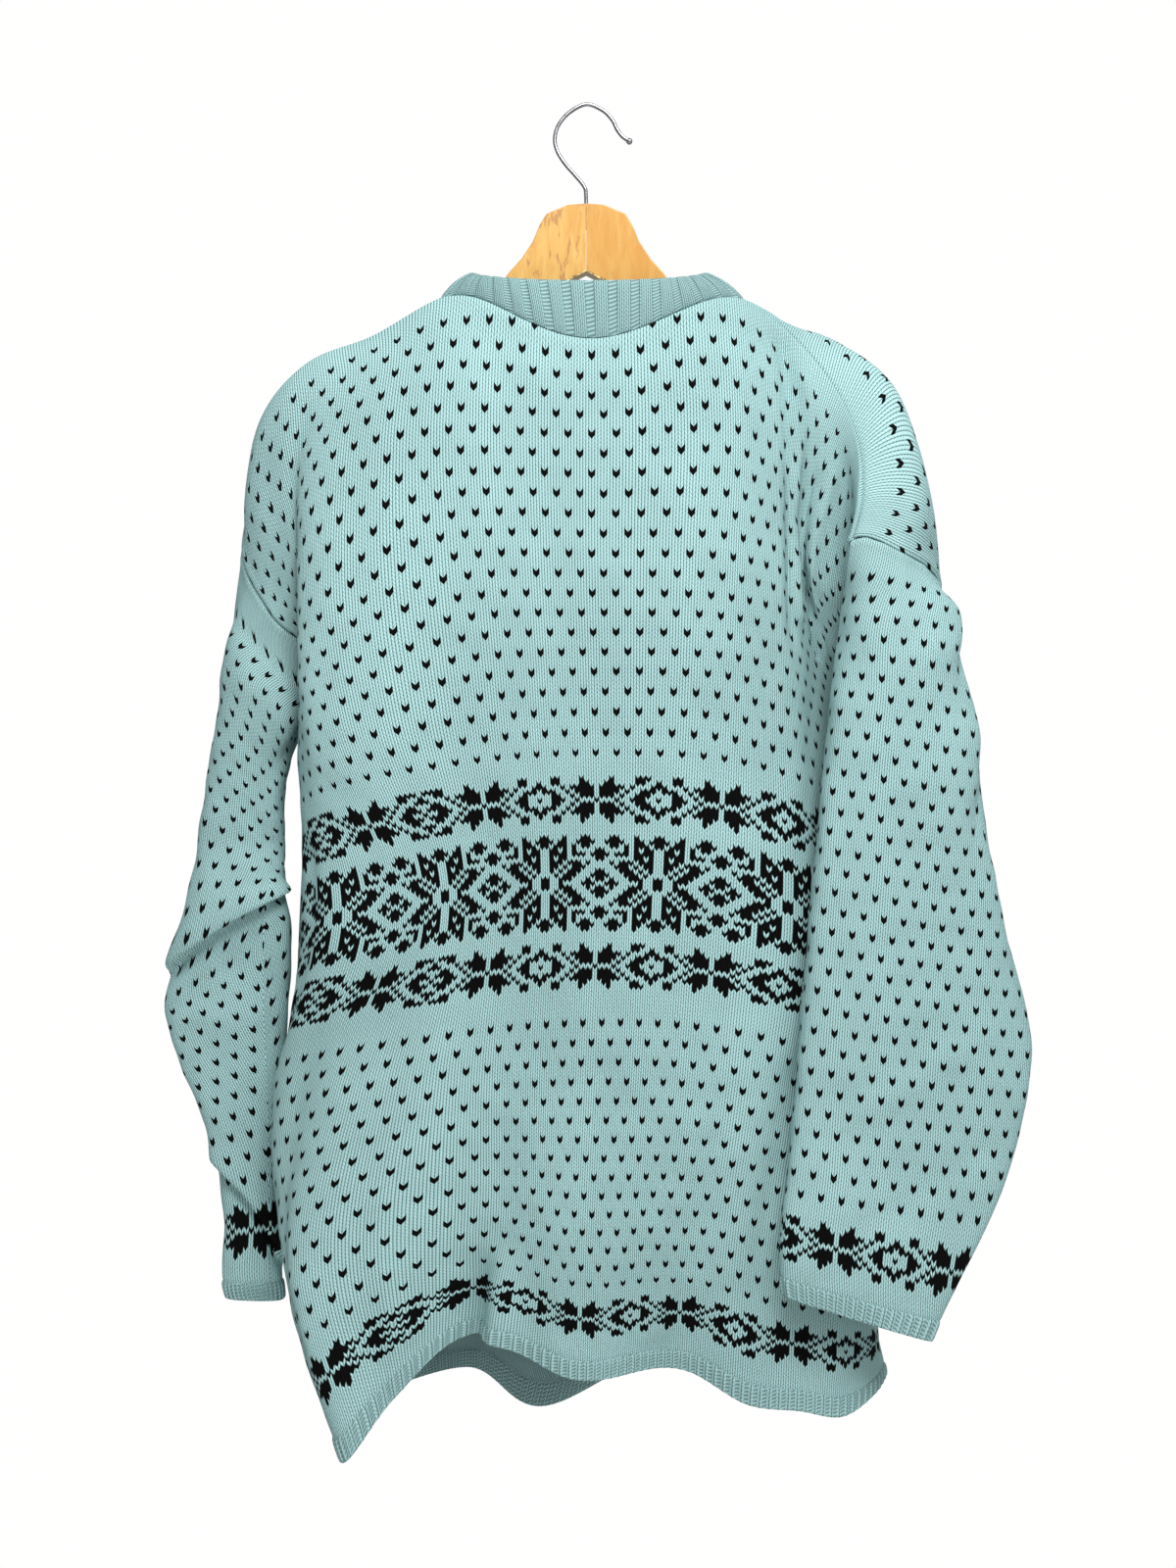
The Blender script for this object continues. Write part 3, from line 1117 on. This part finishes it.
class SWEATER_OT_hanger(bpy.types.Operator):
    """Finish the beech halves and the plate, and bend the wire hook"""
    bl_idname = "sweater.hanger"
    bl_label = "Hanger"

    def execute(self, context):
        for node, material in (("hanger_left", beech("Flecked beech", 0.5, True)),
                               ("hanger_right", beech("Straight beech", -0.62, False)),
                               ("hanger_plate", dark_brass())):
            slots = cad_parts[node].data.materials
            slots.clear()
            slots.append(material)
        bpy.ops.object.select_all(action="DESELECT")
        path = np.array([at_depth((x, 0, z)) for x, z in HOOK_PATH])
        line = spline(range(len(path)), path, np.linspace(0, len(path) - 1, 141))
        bpy.ops.curve.primitive_nurbs_path_add(location=(0, 0, 0))
        wire = bpy.context.object
        wire.name = "hook_wire"
        curve = wire.data
        curve.splines.clear()
        run = curve.splines.new("POLY")
        run.points.add(len(line) - 1)
        for point, place in zip(run.points, line):
            point.co = (*place, 1)
        curve.bevel_depth = WIRE_DIAMETER / 2
        curve.bevel_resolution = 5
        curve.use_fill_caps = True
        bpy.ops.object.convert(target="MESH")
        bpy.ops.object.select_all(action="DESELECT")
        bpy.ops.mesh.primitive_uv_sphere_add(segments=28, ring_count=16, location=line[-1],
                                             radius=settings().tip_radius)
        bpy.ops.object.transform_apply(location=True, rotation=True, scale=True)
        ball = bpy.context.object
        ball.select_set(True)
        wire.select_set(True)
        bpy.context.view_layer.objects.active = wire
        bpy.ops.object.join()
        bpy.ops.object.shade_smooth()
        wire.data.materials.clear()
        wire.data.materials.append(wire_steel())
        dress(wire, "hanger_hook")
        return {"FINISHED"}


def soft_light(name, power, size, place, aim):
    """A large square light, out of the camera's sight."""
    bpy.ops.object.light_add(type="AREA", location=place)
    lamp = bpy.context.object
    lamp.name = name
    lamp.data.energy = power
    lamp.data.shape = "RECTANGLE"
    lamp.data.size, lamp.data.size_y = size
    way = np.array(aim, dtype=float) - np.array(place)
    lamp.rotation_euler = (np.arctan2(np.hypot(way[0], way[1]), -way[2]), 0,
                           np.arctan2(-way[0], way[1]))
    lamp.visible_camera = False


class SWEATER_OT_studio(bpy.types.Operator):
    """Set a pale floor, soft light and the camera"""
    bl_idname = "sweater.studio"
    bl_label = "Studio"

    def execute(self, context):
        studio = context.scene.sweater_studio
        bpy.ops.object.select_all(action="DESELECT")
        bpy.ops.mesh.primitive_circle_add(vertices=96, radius=FLOOR_RADIUS, fill_type="NGON",
                                          location=(0, 0, FLOOR))
        floor = context.object
        floor.name = "studio_floor"
        pale = Finish("Pale floor", 0.9)
        grain = pale.noise(pale.place(), 3.0, 2.0)
        pale.paint(pale.mix(pale.fit(grain, 0.3, 0.7),
                            (0.88, 0.88, 0.87, 1), (0.92, 0.92, 0.91, 1)))
        floor.data.materials.append(pale.material)

        for name, setting, share, size, place, aim in LIGHTS:
            soft_light(name, getattr(studio, setting) * share, size, place, aim)

        world = bpy.data.worlds.new("Studio surround")
        world.use_nodes = True
        nodes, links = world.node_tree.nodes, world.node_tree.links
        back = nodes["Background"]
        back.inputs["Color"].default_value = (1.0, 1.0, 0.995, 1)
        path = nodes.new("ShaderNodeLightPath")
        level = nodes.new("ShaderNodeMapRange")
        for socket, value in zip(level.inputs[1:5], (0.0, 1.0, studio.surround, 1.0)):
            socket.default_value = value
        links.new(path.outputs["Is Camera Ray"], level.inputs[0])
        links.new(level.outputs[0], back.inputs["Strength"])
        context.scene.world = world

        bpy.ops.object.camera_add(location=tuple(EYE), rotation=(np.pi / 2, 0, 0))
        camera = context.object
        camera.name = "front_camera"
        camera.data.sensor_width = SENSOR
        camera.data.lens = SENSOR / VIEW_HEIGHT * (BACK_PLANE - EYE[1])
        camera.data.shift_x = SHIFT_PIXELS / VIEW_PIXELS
        camera.data.dof.use_dof = False
        context.scene.camera = camera
        context.scene.view_settings.view_transform = "Standard"
        return {"FINISHED"}


class SWEATER_PT_panel(bpy.types.Panel):
    """Sizes, colours and steps of the sweater"""
    bl_idname = "SWEATER_PT_panel"
    bl_label = "Sweater"
    bl_space_type = "VIEW_3D"
    bl_region_type = "UI"
    bl_category = "Sweater"

    def draw(self, context):
        scene = context.scene
        for group in (scene.sweater_sizes, scene.sweater_colours, scene.sweater_studio):
            box = self.layout.box()
            for name in group.__annotations__:
                box.prop(group, name)
        for step in STEPS:
            self.layout.operator(step.bl_idname)


STEPS = (SWEATER_OT_panels, SWEATER_OT_sleeves, SWEATER_OT_neckband, SWEATER_OT_hanger,
         SWEATER_OT_studio)
CLASSES = (SweaterSizes, SweaterColours, StudioSettings, *STEPS, SWEATER_PT_panel)


def register():
    for kind in CLASSES:
        bpy.utils.register_class(kind)
    bpy.types.Scene.sweater_sizes = PointerProperty(type=SweaterSizes)
    bpy.types.Scene.sweater_colours = PointerProperty(type=SweaterColours)
    bpy.types.Scene.sweater_studio = PointerProperty(type=StudioSettings)


def unregister():
    del bpy.types.Scene.sweater_sizes
    del bpy.types.Scene.sweater_colours
    del bpy.types.Scene.sweater_studio
    for kind in reversed(CLASSES):
        bpy.utils.unregister_class(kind)


def main():
    register()
    bpy.ops.sweater.panels()
    bpy.ops.sweater.sleeves()
    bpy.ops.sweater.neckband()
    bpy.ops.sweater.hanger()
    bpy.ops.sweater.studio()


if __name__ == "__main__":
    main()
